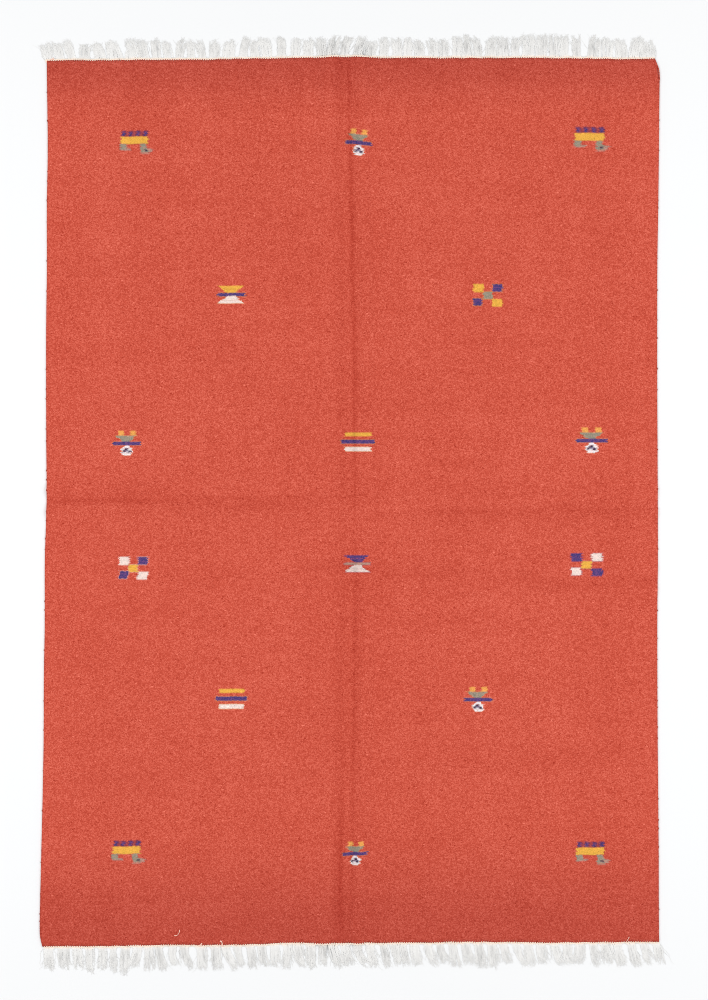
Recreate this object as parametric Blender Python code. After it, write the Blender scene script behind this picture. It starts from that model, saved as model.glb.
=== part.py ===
# Flat-woven wool kilim rug with a cotton fringe along each end, lying flat on a floor.
# Metres, +Z up: X runs across the rug, Y along it, and the underside rests at z = 0.
# The sizes and tables below are in millimetres, measured from the middle of the cloth.
import random

import bmesh
import bpy
import numpy as np
from mathutils import Vector

MM = 0.001

# The woven cloth
FIELD_WIDTH = 1595
FIELD_LENGTH = 2300
CLOTH_THICKNESS = 4

# The fringes: a narrow spine where the warp ends leave the wool, then loose bunches of them
PIECE_GAP = 0.35
SPINE_DEPTH = 4
FRINGE_THICKNESS = 3
BUNCH_PITCH = 33
REACH_JITTER = 5
TIP_START = 0.86      # share of a bunch's reach where its end begins to round off
TIP_WIDTH = 0.5       # share of its width that is left at the very end
NARROWEST_SLIT = 2    # least space between two bunches at their tips

# How far each side bulges past the plain rectangle: place along the side, bulge outwards
LEFT_SIDE = (
    (-1150, 8), (-1122, 14), (-829, 10), (-491, 5), (-153, 3),
    (3, -2), (445, -1), (783, -2.5), (939, -5), (1150, -3),
)
RIGHT_SIDE = (
    (-1150, 0), (-829, -2), (-335, -4), (3, -3), (575, -5),
    (887, -1), (1043, 1.5), (1118, 1.5), (1150, -10),
)
TOP_END = (
    (-797, -4), (-578, -2), (-396, -3), (-266, 0.5), (-136, 3), (-68, 3.4),
    (-6, 5.2), (45, 3.6), (124, 2.5), (592, 1.7), (732, -0.5), (797, 1),
)
BOTTOM_END = (
    (-797, 7), (-432, 4), (-214, 1), (-162, -2), (-32, -2),
    (4, -1), (60, -2.5), (259, -5), (478, -4), (797, -5.5),
)

# Creases left by folding: place along the crease, its line across, height of its shoulders
LONG_CREASE = (
    (-1150, -22, 7), (-959, -11, 5), (-777, -1, 4), (-465, 2, 5), (-153, 10, 3),
    (68, 4, 3), (211, 4, 5), (523, 2, 5), (835, -6, 5), (1043, -11, 6), (1150, -9, 9),
)
LEFT_CREASE = (
    (-820, 1, 4), (-660, 5, 4), (-560, 3, 4), (-400, 8, 3), (-250, -1, 2), (-100, 5, 1), (-30, 12, 0),
)
RIGHT_CREASE = (
    (40, -22, 0), (120, -23, 2), (260, -27, 3), (360, -31, 3), (460, -23, 3), (600, -18, 4),
    (710, -4, 3), (820, -2, 1),
)
LOWER_CREASE = (
    (-100, -165, 0), (60, -171, 2), (125, -187, 2), (360, -200, 2), (470, -190, 2),
    (560, -215, 2), (640, -200, 2), (820, -203, 1),
)
LONG_CREASE_REACH = (90, 60)      # how far its shoulders spread to the left and right
CROSS_CREASE_REACH = (50, 50)     # the same for the others, below and above their line
SHOULDER_SCALE = 6.75             # makes the shoulder curve t^2 (1 - t^2)^2 peak at 1

# The cloth's grid: rows near the ends and across the middle folds, columns across the long crease
CORNER_DEPTH = 28
MIDDLE_FOLDS = (56, -256)
ROWS_ABOVE, ROWS_ACROSS, ROWS_BELOW = 11, 16, 9
COLUMNS_BESIDE = 7
COLUMNS_ACROSS = (-66, -43, -20, 0, 16, 32, 46)

# Where the fringe parts: place, width at the wool, width at the tips, shift of the tips to the right
TOP_PARTINGS = (
    (-797, 0, 0, -22), (-713, 16, 13, -9), (-638, 3, 18, -6), (-591, 5, 22, -8), (-522, 10, 2, -6),
    (-464, 13, 18, -3), (-375, 8, 16, -5), (-343, 13, 10, -4), (-300, 16, 21, 0), (-204, 21, 23, 0),
    (-66, 3, 16, 0), (129, 8, 5, 0), (225, 8, 2, 0), (283, 10, 2, 0), (311, 10, 3, -3),
    (340, 10, 10, 0), (379, 10, 8, 0), (439, 10, 3, 0), (475, 10, 2, 0), (506, 10, 5, 0),
    (540, 10, 2, 0), (601, 23, 23, 1), (638, 10, 2, 1), (680, 13, 10, 3), (717, 5, 10, 0),
    (747, 8, 2, 1), (787, 0, 0, 2),
)
BOTTOM_PARTINGS = (
    (-803, 0, 0, 0), (-731, 13, 16, 0), (-668, 18, 21, 4), (-574, 16, 2, -9), (-544, 8, 13, -3),
    (-517, 5, 5, 14), (-417, 23, 10, 8), (-343, 3, 26, 20), (-284, 16, 2, 8), (-157, 10, 13, 3),
    (-63, 3, 18, 5), (62, 21, 18, 18), (116, 5, 3, 5), (309, 16, 2, 13), (376, 13, 5, 13),
    (506, 18, 16, 5), (609, 18, 13, 4), (667, 10, 8, 18), (706, 18, 2, 18), (795, 0, 0, 22),
)

# How far the bunches reach: place, reach
TOP_REACH = ((-797, 41), (-500, 46), (-250, 51), (-10, 48), (220, 50), (590, 57), (787, 47))
BOTTOM_REACH = ((-803, 60), (-560, 65), (-300, 58), (0, 57), (300, 59), (600, 56), (795, 58))

# Colours of the cloth and the fringe, linear
WOOL_RED = (0.65, 0.10, 0.063, 1)
COTTON_WHITE = (0.78, 0.77, 0.73, 1)


def clear_scene():
    for thing in list(bpy.data.objects):
        bpy.data.objects.remove(thing, do_unlink=True)


def read_table(table, place, column=1):
    # A smooth curve through the rows of a table, held level past its ends.
    if place <= table[0][0]:
        return table[0][column]
    if place >= table[-1][0]:
        return table[-1][column]
    row = next(i for i in range(1, len(table)) if place <= table[i][0])

    def slope(i):
        before, after = table[max(i - 1, 0)], table[min(i + 1, len(table) - 1)]
        return (after[column] - before[column]) / (after[0] - before[0])

    low, high = table[row - 1], table[row]
    span = high[0] - low[0]
    t = (place - low[0]) / span
    start = low[column] * (2 * t**3 - 3 * t**2 + 1) + slope(row - 1) * span * (t**3 - 2 * t**2 + t)
    finish = high[column] * (3 * t**2 - 2 * t**3) + slope(row) * span * (t**3 - t**2)
    return start + finish


def side_lines(y):
    left = -FIELD_WIDTH / 2 - read_table(LEFT_SIDE, y)
    right = FIELD_WIDTH / 2 + read_table(RIGHT_SIDE, y)
    return left, right


def end_line(x, end):
    # end is 1 for the top of the rug and -1 for the bottom.
    bulge = read_table(TOP_END if end > 0 else BOTTOM_END, x)
    return end * (FIELD_LENGTH / 2 + bulge)


def shoulders(distance, reach):
    # Level on the crease and past its reach, with a soft shoulder on each side.
    t = distance / reach[0 if distance < 0 else 1]
    if abs(t) >= 1:
        return 0
    return SHOULDER_SCALE * t**2 * (1 - t**2) ** 2


def lift(x, y):
    # Height of the underside over the floor, where the old creases hold the cloth up.
    line, rise = read_table(LONG_CREASE, y), read_table(LONG_CREASE, y, 2)
    height = rise * shoulders(x - line, LONG_CREASE_REACH)
    for crease in (LEFT_CREASE, RIGHT_CREASE, LOWER_CREASE):
        if crease[0][0] <= x <= crease[-1][0]:
            line, rise = read_table(crease, x), read_table(crease, x, 2)
            height += rise * shoulders(y - line, CROSS_CREASE_REACH)
    return height


def spread(start, stop, count):
    return [start + (stop - start) * i / count for i in range(count + 1)]


def grid_rows():
    # Close together at the corners and across the folds in the middle.
    end = FIELD_LENGTH / 2
    above = spread(end - CORNER_DEPTH, MIDDLE_FOLDS[0], ROWS_ABOVE)
    across = spread(*MIDDLE_FOLDS, ROWS_ACROSS)
    below = spread(MIDDLE_FOLDS[1], CORNER_DEPTH - end, ROWS_BELOW)
    return [end] + above + across[1:] + below[1:] + [-end]


def grid_columns(y):
    left, right = side_lines(y)
    crease = read_table(LONG_CREASE, y)
    near_left = crease - LONG_CREASE_REACH[0]
    near_right = crease + LONG_CREASE_REACH[1]
    across = [crease + offset for offset in COLUMNS_ACROSS]
    return spread(left, near_left, COLUMNS_BESIDE) + across + spread(near_right, right, COLUMNS_BESIDE)


def wool_line(x, end):
    # The cloth's own straight-sided edge at one end, which the fringe follows.
    columns = grid_columns(end * FIELD_LENGTH / 2)
    return float(np.interp(x, columns, [end_line(column, end) for column in columns]))


def stretched(x, y):
    # Where a row of the plain rectangle lies once its uneven end has moved it.
    end = 1 if y > 0 else -1
    return y + (end_line(x, end) - end * FIELD_LENGTH / 2) * abs(y) / (FIELD_LENGTH / 2)


def build_field():
    shape = bmesh.new()
    rows = []
    for row_y in grid_rows():
        spots = [(x, stretched(x, row_y)) for x in grid_columns(row_y)]
        rows.append([shape.verts.new(Vector((x, y, lift(x, y))) * MM) for x, y in spots])
    for upper, lower in zip(rows, rows[1:]):
        for i in range(len(upper) - 1):
            shape.faces.new((upper[i], lower[i], lower[i + 1], upper[i + 1]))
    return finish_sheet("rug_field", shape, CLOTH_THICKNESS, "wool", WOOL_RED, 0.9)


def bunches(partings, reaches, seed):
    # Each stretch between two partings holds as many bunches as fit at the usual pitch.
    chance = random.Random(seed)
    found = []
    for before, after in zip(partings, partings[1:]):
        root_start, root_stop = before[0] + before[1] / 2, after[0] - after[1] / 2
        tip_start = before[0] + before[3] + before[2] / 2
        tip_stop = after[0] + after[3] - after[2] / 2
        count = max(1, round((after[0] - before[0]) / BUNCH_PITCH))
        for i in range(count):
            bunch = {}
            for name, start, stop in (("root", root_start, root_stop), ("tip", tip_start, tip_stop)):
                width = (stop - start + NARROWEST_SLIT) / count
                bunch[name] = (start + i * width, start + (i + 1) * width - NARROWEST_SLIT)
            middle = sum(bunch["root"]) / 2
            bunch["reach"] = read_table(reaches, middle) + chance.uniform(-REACH_JITTER, REACH_JITTER)
            found.append(bunch)
    return found


def mix(pair, share):
    return pair[0] + (pair[1] - pair[0]) * share


def build_fringe(name, end, partings, reaches, seed):
    shape = bmesh.new()

    def point(x, out, root_x, share):
        # share runs from 0 at the wool to 1 at the tips, where the yarn has come down to the floor.
        wool = wool_line(root_x, end)
        height = lift(root_x, wool) * (1 - share) ** 2
        return shape.verts.new(Vector((x, wool + end * out, height)) * MM)

    last_side = None
    for bunch in bunches(partings, reaches, seed):
        lines = []
        for across in (0, 0.5, 1):
            root_x = mix(bunch["root"], across)
            full_x = mix((root_x, mix(bunch["tip"], across)), TIP_START)
            tip_x = mix(bunch["tip"], 0.5 + (across - 0.5) * TIP_WIDTH)
            lines.append((
                point(root_x, PIECE_GAP, root_x, 0),
                point(root_x, PIECE_GAP + SPINE_DEPTH, root_x, 0),
                point(full_x, bunch["reach"] * TIP_START, root_x, TIP_START),
                point(tip_x, bunch["reach"], root_x, 1),
            ))
        for left, right in zip(lines, lines[1:]):
            for i in range(3):
                shape.faces.new((left[i], right[i], right[i + 1], left[i + 1]))
        if last_side:
            shape.faces.new((last_side[0], lines[0][0], lines[0][1], last_side[1]))
        last_side = lines[-1]
    return finish_sheet(name, shape, FRINGE_THICKNESS, "cotton", COTTON_WHITE, 0.85)


def material(name, colour, roughness):
    found = bpy.data.materials.get(name)
    if found:
        return found
    made = bpy.data.materials.new(name)
    made.use_nodes = True
    surface = made.node_tree.nodes["Principled BSDF"]
    surface.inputs["Base Color"].default_value = colour
    surface.inputs["Roughness"].default_value = roughness
    surface.inputs["Metallic"].default_value = 0
    return made


def finish_sheet(name, shape, thickness, material_name, colour, roughness):
    # The faces made so far are the underside; the thickness is added above them.
    bmesh.ops.recalc_face_normals(shape, faces=shape.faces)
    if sum(face.normal.z for face in shape.faces) < 0:
        bmesh.ops.reverse_faces(shape, faces=shape.faces)
    mesh = bpy.data.meshes.new(name)
    shape.to_mesh(mesh)
    shape.free()
    mesh.materials.append(material(material_name, colour, roughness))
    piece = bpy.data.objects.new(name, mesh)
    bpy.context.scene.collection.objects.link(piece)
    thick = piece.modifiers.new("thickness", "SOLIDIFY")
    thick.thickness = thickness * MM
    thick.offset = 1
    return piece


def centre_pieces(pieces):
    # The origin is the middle of the whole rug's outline, fringes included, on the floor.
    spots = [vertex.co for piece in pieces for vertex in piece.data.vertices]
    middle_x = (min(spot.x for spot in spots) + max(spot.x for spot in spots)) / 2
    middle_y = (min(spot.y for spot in spots) + max(spot.y for spot in spots)) / 2
    for piece in pieces:
        piece.location = (-middle_x, -middle_y, 0)


clear_scene()
centre_pieces([
    build_field(),
    build_fringe("fringe_top", 1, TOP_PARTINGS, TOP_REACH, seed=4),
    build_fringe("fringe_bottom", -1, BOTTOM_PARTINGS, BOTTOM_REACH, seed=9),
])
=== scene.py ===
import math
import random

import bpy
import numpy as np
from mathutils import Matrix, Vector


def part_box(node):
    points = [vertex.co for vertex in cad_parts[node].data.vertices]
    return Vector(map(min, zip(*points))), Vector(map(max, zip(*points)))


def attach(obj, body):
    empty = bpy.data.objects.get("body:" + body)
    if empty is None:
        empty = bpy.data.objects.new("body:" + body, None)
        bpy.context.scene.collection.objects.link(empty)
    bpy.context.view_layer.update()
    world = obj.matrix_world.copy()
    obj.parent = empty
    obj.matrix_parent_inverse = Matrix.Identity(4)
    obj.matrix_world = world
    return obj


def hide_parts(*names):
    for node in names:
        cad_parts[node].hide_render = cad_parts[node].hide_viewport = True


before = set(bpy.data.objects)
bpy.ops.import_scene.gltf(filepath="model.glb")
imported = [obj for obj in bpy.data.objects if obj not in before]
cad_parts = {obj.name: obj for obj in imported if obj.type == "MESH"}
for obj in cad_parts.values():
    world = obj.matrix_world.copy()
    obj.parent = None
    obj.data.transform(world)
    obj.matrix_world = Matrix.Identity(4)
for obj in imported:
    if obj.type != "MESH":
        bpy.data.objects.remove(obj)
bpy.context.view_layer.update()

mm = 0.001

# Lengths are in millimetres from the middle of the cloth, as the weaver would measure them.
# rowShift, found below from the frame, moves them to the frame's own origin.
cloth = {
    "width": 1595,
    "length": 2300,
    "thickness": 4,
    "underside": 0.2,           # how far the cloth clears the floor
    "ribs": 264,                # warp bundles across the cloth, one rib each
    "picks": 1000,              # weft turns from one end to the other
    "ribDepth": 0.75,
    "columnsPerRib": 3,         # of the face's grid; the underside keeps every sixth column
    "underEvery": 6,
    "endRipple": 0.6,           # the last weft turns don't run quite straight
    "rippleLengths": (12, 49),
    "unevenness": 0.175,        # slow waves of the face, their lengths and how those bend
    "waveLengths": (61, 83),
    "waveBends": (170, 140),
    "rimWidth": 3,              # along its sides the cloth is a little thinner
    "rimHeight": 0.7,
    "shadedRows": 6,              # painted shade over the last rows, most of all between the ribs
    "shadedValley": 0.7,
    "shadedRib": 0.21,
}
ribPitch = cloth["width"] / cloth["ribs"]
pickPitch = cloth["length"] / cloth["picks"]
halfWidth = cloth["width"] / 2
halfLength = cloth["length"] / 2

# Place along an edge, then how far the cloth bulges past the plain rectangle there.
outline = {
    "left": ((-1150, 9), (-1120, 15), (-1070, 15), (-917, 11.5), (-764, 7.8), (-610, 5.1),
             (-458, 4.5), (-306, 2.1), (-153, 2), (1, -2.6), (154, -1.7), (458, -1.4), (612, -3.4),
             (765, -3.2), (919, -5.6), (1071, -3.9), (1150, -3)),
    "right": ((-1150, -0.5), (-1070, -1.2), (-917, -1.6), (-764, -2.8), (-610, -4.3), (-306, -5.2),
              (-153, -3.7), (154, -4.6), (306, -5.4), (612, -5.1), (765, -2.6), (919, -1),
              (1071, 0.5), (1118, 0.5), (1150, -11)),
    "top": ((-797, -5), (-737, -4.2), (-623, -3.8), (-510, -2.5), (-397, -2.6), (-284, 0.1),
            (-171, 1.6), (-57, 2.8), (-6, 4.4), (45, 2.6), (170, 1.8), (396, 2), (509, 1.7),
            (622, 0.4), (736, -1.4), (797, 0.5)),
    "bottom": ((-797, 6.5), (-737, 6.1), (-623, 5), (-510, 2.6), (-397, 2.5), (-284, 1.4),
               (-171, -2.7), (-57, -2.9), (56, -3.5), (170, -3.6), (283, -5.6), (396, -5.1),
               (509, -4), (622, -4.8), (797, -6)),
}

# The cloth stands a little off the floor beside its folds: place, line across, height.
shoulderFolds = {
    "long": ((-1150, -22, 7), (-959, -11, 5), (-777, -1, 4), (-465, 2, 5), (-153, 10, 3),
             (68, 4, 3), (211, 4, 5), (523, 2, 5), (835, -6, 5), (1043, -11, 6), (1150, -9, 9)),
    "left": ((-820, 1, 4), (-660, 5, 4), (-560, 3, 4), (-400, 8, 3), (-250, -1, 2), (-100, 5, 1),
             (-30, 12, 0)),
    "right": ((40, -22, 0), (120, -23, 2), (260, -27, 3), (360, -31, 3), (460, -23, 3),
              (600, -18, 4), (710, -4, 3), (820, -2, 1)),
    "lower": ((-100, -165, 0), (60, -171, 2), (125, -187, 2), (360, -200, 2), (470, -190, 2),
              (560, -215, 2), (640, -200, 2), (820, -203, 1)),
}
longReach = (90, 60)        # how far a fold's shoulders spread before its line and past it
crossReach = (50, 50)

# The lines of the folds: how wide, then place along, line across and strength, which is negative
# for a light ridge. A dent's strength sets its depth and its painted shade, a ridge's its rise and
# its painted highlight.
longMarks = {
    "sharp": (6.5, (
        (-1150, -7, 4), (-1089, -6, 5), (-998, 0, 11), (-816, 0, 12), (-699, 1, 13), (-543, 4, 13),
        (-387, 5, 15), (-257, 8, 12), (-75, 5, 7), (68, 6, 13), (232, 5, 19), (328, 4.5, 18),
        (458, 4, 19), (588, 1, 16), (718, -1, 20), (835, -4, 19), (1022, -8, 14),
        (1082, -8, 15), (1150, -9, 9))),
    "tail": (10, (
        (-1150, 8, 1), (-816, 14, 3), (-543, 18, 4), (-257, 18, 4), (-120, 14, 1), (-20, 22, 2),
        (68, 26, 3), (180, 26, 4), (232, 28, 7), (280, 20, 5), (328, 16, 5), (588, 14, 3),
        (835, 8, 4), (1022, 10, 4), (1150, 10, 3))),
    "beside": (7, (
        (-1150, -29, 5), (-1089, -29, 6), (-998, -33, 12), (-900, -30, 10), (-816, -27, 10),
        (-760, -26, 4), (-699, -28, 2), (300, -26, 1), (900, -30, 1), (1022, -32, 4),
        (1082, -42, 5), (1150, -37, 5))),
    "soft": (20, (
        (-1150, -35, 6), (-998, -34, 8), (-816, -36, 7), (-700, -31, 6), (-400, -31, 7), (-200, -26, 5),
        (0, -25, 5), (80, -25, 6), (300, -30, 5), (500, -35, 6), (650, -31, 7), (800, -38, 6),
        (950, -38, 6), (1082, -30, 9), (1150, -32, 7))),
}
crossMarks = {
    "left": (7, (
        (-797, 0, 10), (-740, -1, 12), (-660, 3, 11), (-590, 1.5, 13), (-545, 1, 15), (-500, 4, 8),
        (-400, 7, 4), (-280, 8, 4.5), (-130, 13, 8), (-60, 15, 5), (-10, 10, 0))),
    "leftBelow": (10, (
        (-600, -26, 0), (-560, -27, 6), (-500, -12, 5), (-400, -12, 4), (-330, -14, 4),
        (-230, -8, 7), (-130, -8, 5), (-60, 6, 3), (-10, 2, 0))),
    "leftSoft": (24, (
        (-797, 8, 0), (-700, 14, 3), (-560, 20, 4), (-450, 12, 4), (-300, -6, 4), (-100, -10, 3),
        (-20, -12, 0))),
    "right": (9, (
        (20, -34, 0), (60, -36, 3), (170, -26, 4), (280, -26, 8), (390, -27, 5), (490, -21, 8),
        (560, -16, 7), (620, -24, 6), (680, -22, 5), (740, -24, 3), (797, -20, 2))),
    "rightSoft": (24, (
        (60, -44, 0), (260, -44, 4), (400, -40, 1), (590, -28, 5), (700, -20, 4), (797, -24, 1))),
    "rightRidge": (5, (
        (40, -14, 0), (90, -15, -5), (180, -14, -5), (280, -10, 0), (340, 2, -2), (420, 4, -4),
        (490, 4, -8), (560, 6, -3), (600, 8, -1), (680, 15, -5), (740, 12, -3), (780, 10, 0))),
    "lower": (13, (
        (-150, -170, 0), (-90, -168, 7), (-20, -170, 6), (60, -184, 7), (130, -192, 8),
        (220, -188, 6), (330, -182, 4), (430, -190, 3), (530, -212, 7), (620, -208, 5),
        (700, -200, 5), (797, -205, 7))),
    "lowerBelow": (9, (
        (300, -208, 0), (340, -206, 4), (430, -212, 2), (520, -236, 9), (560, -230, 4),
        (640, -220, 3), (797, -214, 3))),
    "lowerAbove": (16, (
        (-160, -160, 0), (-90, -172, 4), (20, -168, 4), (130, -166, 6), (240, -166, 3),
        (300, -168, 0))),
    "upperLeft": (9, (
        (-797, 590, 0), (-740, 592, 3), (-640, 593, 3), (-560, 600, 0))),
    "upperAcross": (14, (
        (-797, 628, 1), (-400, 626, 2), (0, 622, 1), (400, 626, 2), (797, 628, 1))),
    "middleLeft": (10, (
        (-320, 378, 0), (-280, 380, 2), (-60, 380, 2), (-20, 380, 0))),
    "middleRight": (10, (
        (30, 290, 0), (60, 289, 2), (240, 289, 2), (290, 288, 0))),
}
foldDepth = 0.07        # millimetres of dent for each unit of strength
foldShade = 0.0145      # painted shade of a fold line, a share of its colour for each unit of strength


def curve(table, column=1):
    # smooth through the rows of a table and level past its ends, for a number or an array
    place = np.array([row[0] for row in table], float)
    value = np.array([row[column] for row in table], float)
    last = len(place) - 1
    before = np.maximum(np.arange(last + 1) - 1, 0)
    after = np.minimum(np.arange(last + 1) + 1, last)
    slope = (value[after] - value[before]) / (place[after] - place[before])

    def read(at):
        at = np.clip(at, place[0], place[-1])
        i = np.clip(np.searchsorted(place, at), 1, last)
        span = place[i] - place[i - 1]
        t = (at - place[i - 1]) / span
        start = value[i - 1] * (2 * t**3 - 3 * t**2 + 1) + slope[i - 1] * span * (t**3 - 2 * t**2 + t)
        finish = value[i] * (3 * t**2 - 2 * t**3) + slope[i] * span * (t**3 - t**2)
        return start + finish

    return read


def onTable(table, along):
    return (along >= table[0][0]) & (along <= table[-1][0])


def mixed(pair, share):
    return pair[0] + (pair[1] - pair[0]) * share


def smooth(share):
    share = np.clip(share, 0, 1)
    return share**2 * (3 - 2 * share)


edgeCurves = {name: curve(table) for name, table in outline.items()}


def sidesAt(y):
    return -halfWidth - edgeCurves["left"](y), halfWidth + edgeCurves["right"](y)


def endAt(x, end):
    # end is 1 at the top of the picture and -1 at its bottom
    short, long = cloth["rippleLengths"]
    ripple = cloth["endRipple"] * np.sin(x / short + end + 3 * np.sin(x / long))
    return end * (halfLength + edgeCurves["top" if end > 0 else "bottom"](x) + ripple)


def stretched(x, y):
    # rows near an end follow its outline, the middle row stays straight
    pull = np.where(y > 0, endAt(x, 1) - halfLength, endAt(x, -1) + halfLength)
    return y + pull * abs(y) / halfLength


def shoulder(distance, reach):
    # nothing on the fold's line and at its reach, 1 at the highest between them
    t = np.clip(distance / np.where(distance < 0, *reach), -1, 1)
    return 6.75 * t**2 * (1 - t**2) ** 2


def liftAt(x, y):
    # how far the underside stands off the floor
    line, rise = curve(shoulderFolds["long"]), curve(shoulderFolds["long"], 2)
    height = rise(y) * shoulder(x - line(y), longReach)
    for name in ("left", "right", "lower"):
        table = shoulderFolds[name]
        line, rise = curve(table), curve(table, 2)
        rising = rise(x) * shoulder(y - line(x), crossReach)
        height = height + np.where(onTable(table, x), rising, 0)
    return height


def marksAt(x, y):
    # strength of the fold lines at a point, dents positive
    total = np.zeros(np.broadcast(x, y).shape)
    for marks, along, across in ((longMarks, y, x), (crossMarks, x, y)):
        for width, table in marks.values():
            away = (across - curve(table)(along)) / width
            strength = curve(table, 2)(along) * np.exp(-away**2)
            total = total + np.where(onTable(table, along), strength, 0)
    return total


def findShift():
    # the frame's own box of the cloth against the same box in the weaver's millimetres
    y = np.linspace(-halfLength, halfLength, cloth["length"] + 1)
    left, right = sidesAt(y)
    x = np.linspace(-halfWidth, halfWidth, cloth["width"] + 1)
    low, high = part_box("rug_field")
    middleX = (min(left) + max(right)) / 2
    middleY = (min(endAt(x, -1)) + max(endAt(x, 1))) / 2
    return (low.x + high.x) / 2 / mm - middleX, (low.y + high.y) / 2 / mm - middleY


rowShift = findShift()
print("stage: frame loaded, cloth's middle at", [round(float(x), 2) for x in rowShift], "mm")


class Value:
    # a socket that takes part in sums, each of which adds its Math node
    def __init__(self, graph, socket):
        self.graph = graph
        self.socket = socket

    def __add__(self, other):
        return self.graph.math("ADD", self, other)

    def __sub__(self, other):
        return self.graph.math("SUBTRACT", self, other)

    def __rsub__(self, other):
        return self.graph.math("SUBTRACT", other, self)

    def __mul__(self, other):
        return self.graph.math("MULTIPLY", self, other)

    def __lt__(self, other):
        return self.graph.math("LESS_THAN", self, other)

    def __gt__(self, other):
        return self.graph.math("GREATER_THAN", self, other)

    def __abs__(self):
        return self.graph.math("ABSOLUTE", self)

    __radd__ = __add__
    __rmul__ = __mul__


class Graph:
    def __init__(self, name):
        self.material = bpy.data.materials.new(name)
        self.material.use_nodes = True
        self.tree = self.material.node_tree
        self.surface = self.tree.nodes["Principled BSDF"]

    def node(self, kind, settings=(), sockets=(), output=0):
        # settings go on first, then the sockets by name or number
        made = self.tree.nodes.new(kind)
        for name, setting in dict(settings).items():
            if name == "stops":
                self.setStops(made.color_ramp, setting)
            else:
                setattr(made, name, setting)
        pairs = sockets.items() if isinstance(sockets, dict) else enumerate(sockets)
        for name, value in pairs:
            self.feed(made.inputs[name], value)
        return Value(self, made.outputs[output])

    def setStops(self, ramp, stops):
        while len(ramp.elements) < len(stops):
            ramp.elements.new(0.5)
        for element, (place, colour) in zip(ramp.elements, stops):
            element.position = place
            element.color = (*colour, 1)

    def feed(self, socket, value):
        if isinstance(value, Value):
            self.tree.links.new(value.socket, socket)
        elif isinstance(value, tuple) and len(value) == 3 and socket.type == "RGBA":
            socket.default_value = (*value, 1)
        else:
            socket.default_value = value

    def math(self, operation, *values):
        return self.node("ShaderNodeMath", {"operation": operation}, values)

    def floor(self, value):
        return self.math("FLOOR", value)

    def mix(self, factor, below, above, blend="MIX"):
        settings = {"data_type": "RGBA", "blend_type": blend}
        return self.node("ShaderNodeMix", settings, {0: factor, 6: below, 7: above}, output=2)

    def split(self, vector):
        parts = self.node("ShaderNodeSeparateXYZ", (), (vector,)).socket.node.outputs
        return [Value(self, part) for part in parts]

    def join(self, x, y, z=0):
        return self.node("ShaderNodeCombineXYZ", (), (x, y, z))

    def noise(self, place, scale, detail=2, roughness=0.5):
        return self.node("ShaderNodeTexNoise", (), {
            "Vector": place, "Scale": scale, "Detail": detail, "Roughness": roughness})

    def random(self, place):
        return self.node("ShaderNodeTexWhiteNoise", {"noise_dimensions": "3D"}, {"Vector": place})

    def attribute(self, name):
        return self.node("ShaderNodeAttribute", {"attribute_name": name}, output="Fac")

    def finish(self, colour, roughness, normal=None, **fixed):
        self.feed(self.surface.inputs["Base Color"], colour)
        self.feed(self.surface.inputs["Roughness"], roughness)
        if normal:
            self.feed(self.surface.inputs["Normal"], normal)
        for name, value in fixed.items():
            self.feed(self.surface.inputs[name.replace("_", " ")], value)
        return self.material


# the wool and its dyes
wool = {
    "deep": (0.360, 0.0252, 0.0096),
    "main": (0.570, 0.0790, 0.0450),
    "light": (0.838, 0.192, 0.131),
    # how far flecks, fibres, streaks and slow patches move the yarn between deep and light
    "tones": {"fleck": 0.46, "fibre": 0.46, "fine": 0.4, "streak": 0.16, "patch": 0.1,
              "warpBand": 0.12},
    "pale": (0.0022, 0.5),  # share of the beads that hardly took the dye, and how much lighter
    "dark": (0.016, 0.3),   # share of the beads that took too much, and how much deeper
    "topEnd": (155, 0.24),  # the cloth darkens towards its ends: over what length, by how much
    "bottomEnd": (330, 0.235),
    "foldShadeTint": (0.58, 1.22, 1.43),     # red, green and blue that a fold's painted shade takes away
    "endTint": (0.7, 1.0, 0.85),        # red, green and blue that the darkening of the last rows takes away
    "paintedShadeTint": (0.75, 0.5, 0.42),    # red, green and blue that the painted shade of the last rows and edge cords takes away, so it browns
    "bump": 0.35,
    "bumpHeight": 0.0006,   # in metres
    "fibreRelief": 1.2,
    "fineRelief": 0.8,
    "roughness": 0.86,
    "motifFuzz": 3.2,       # millimetres over which a motif's edge blends
    "motifLight": 0.62,     # light of a motif's darkest yarn, and how much more its palest has
    "motifRange": 0.73,
    "showThrough": 0.16,    # most of the ground that shows between a motif's yarns
}
motifColours = {
    "indigo": (0.048, 0.042, 0.185),
    "gold": (0.79, 0.430, 0.058),
    "amber": (0.82, 0.375, 0.085),
    "sage": (0.270, 0.265, 0.200),
    "cream": (0.83, 0.705, 0.645),
    "white": (0.84, 0.81, 0.83),
    "navy": (0.008, 0.014, 0.055),
    "dusk": (0.26, 0.25, 0.36),
    "taupe": (0.44, 0.28, 0.21),
    "mauve": (0.41, 0.25, 0.20),
    "blush": (0.48, 0.20, 0.15),
    "mulberry": (0.140, 0.030, 0.085),
    "plum": (0.33, 0.050, 0.060),
}

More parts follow.
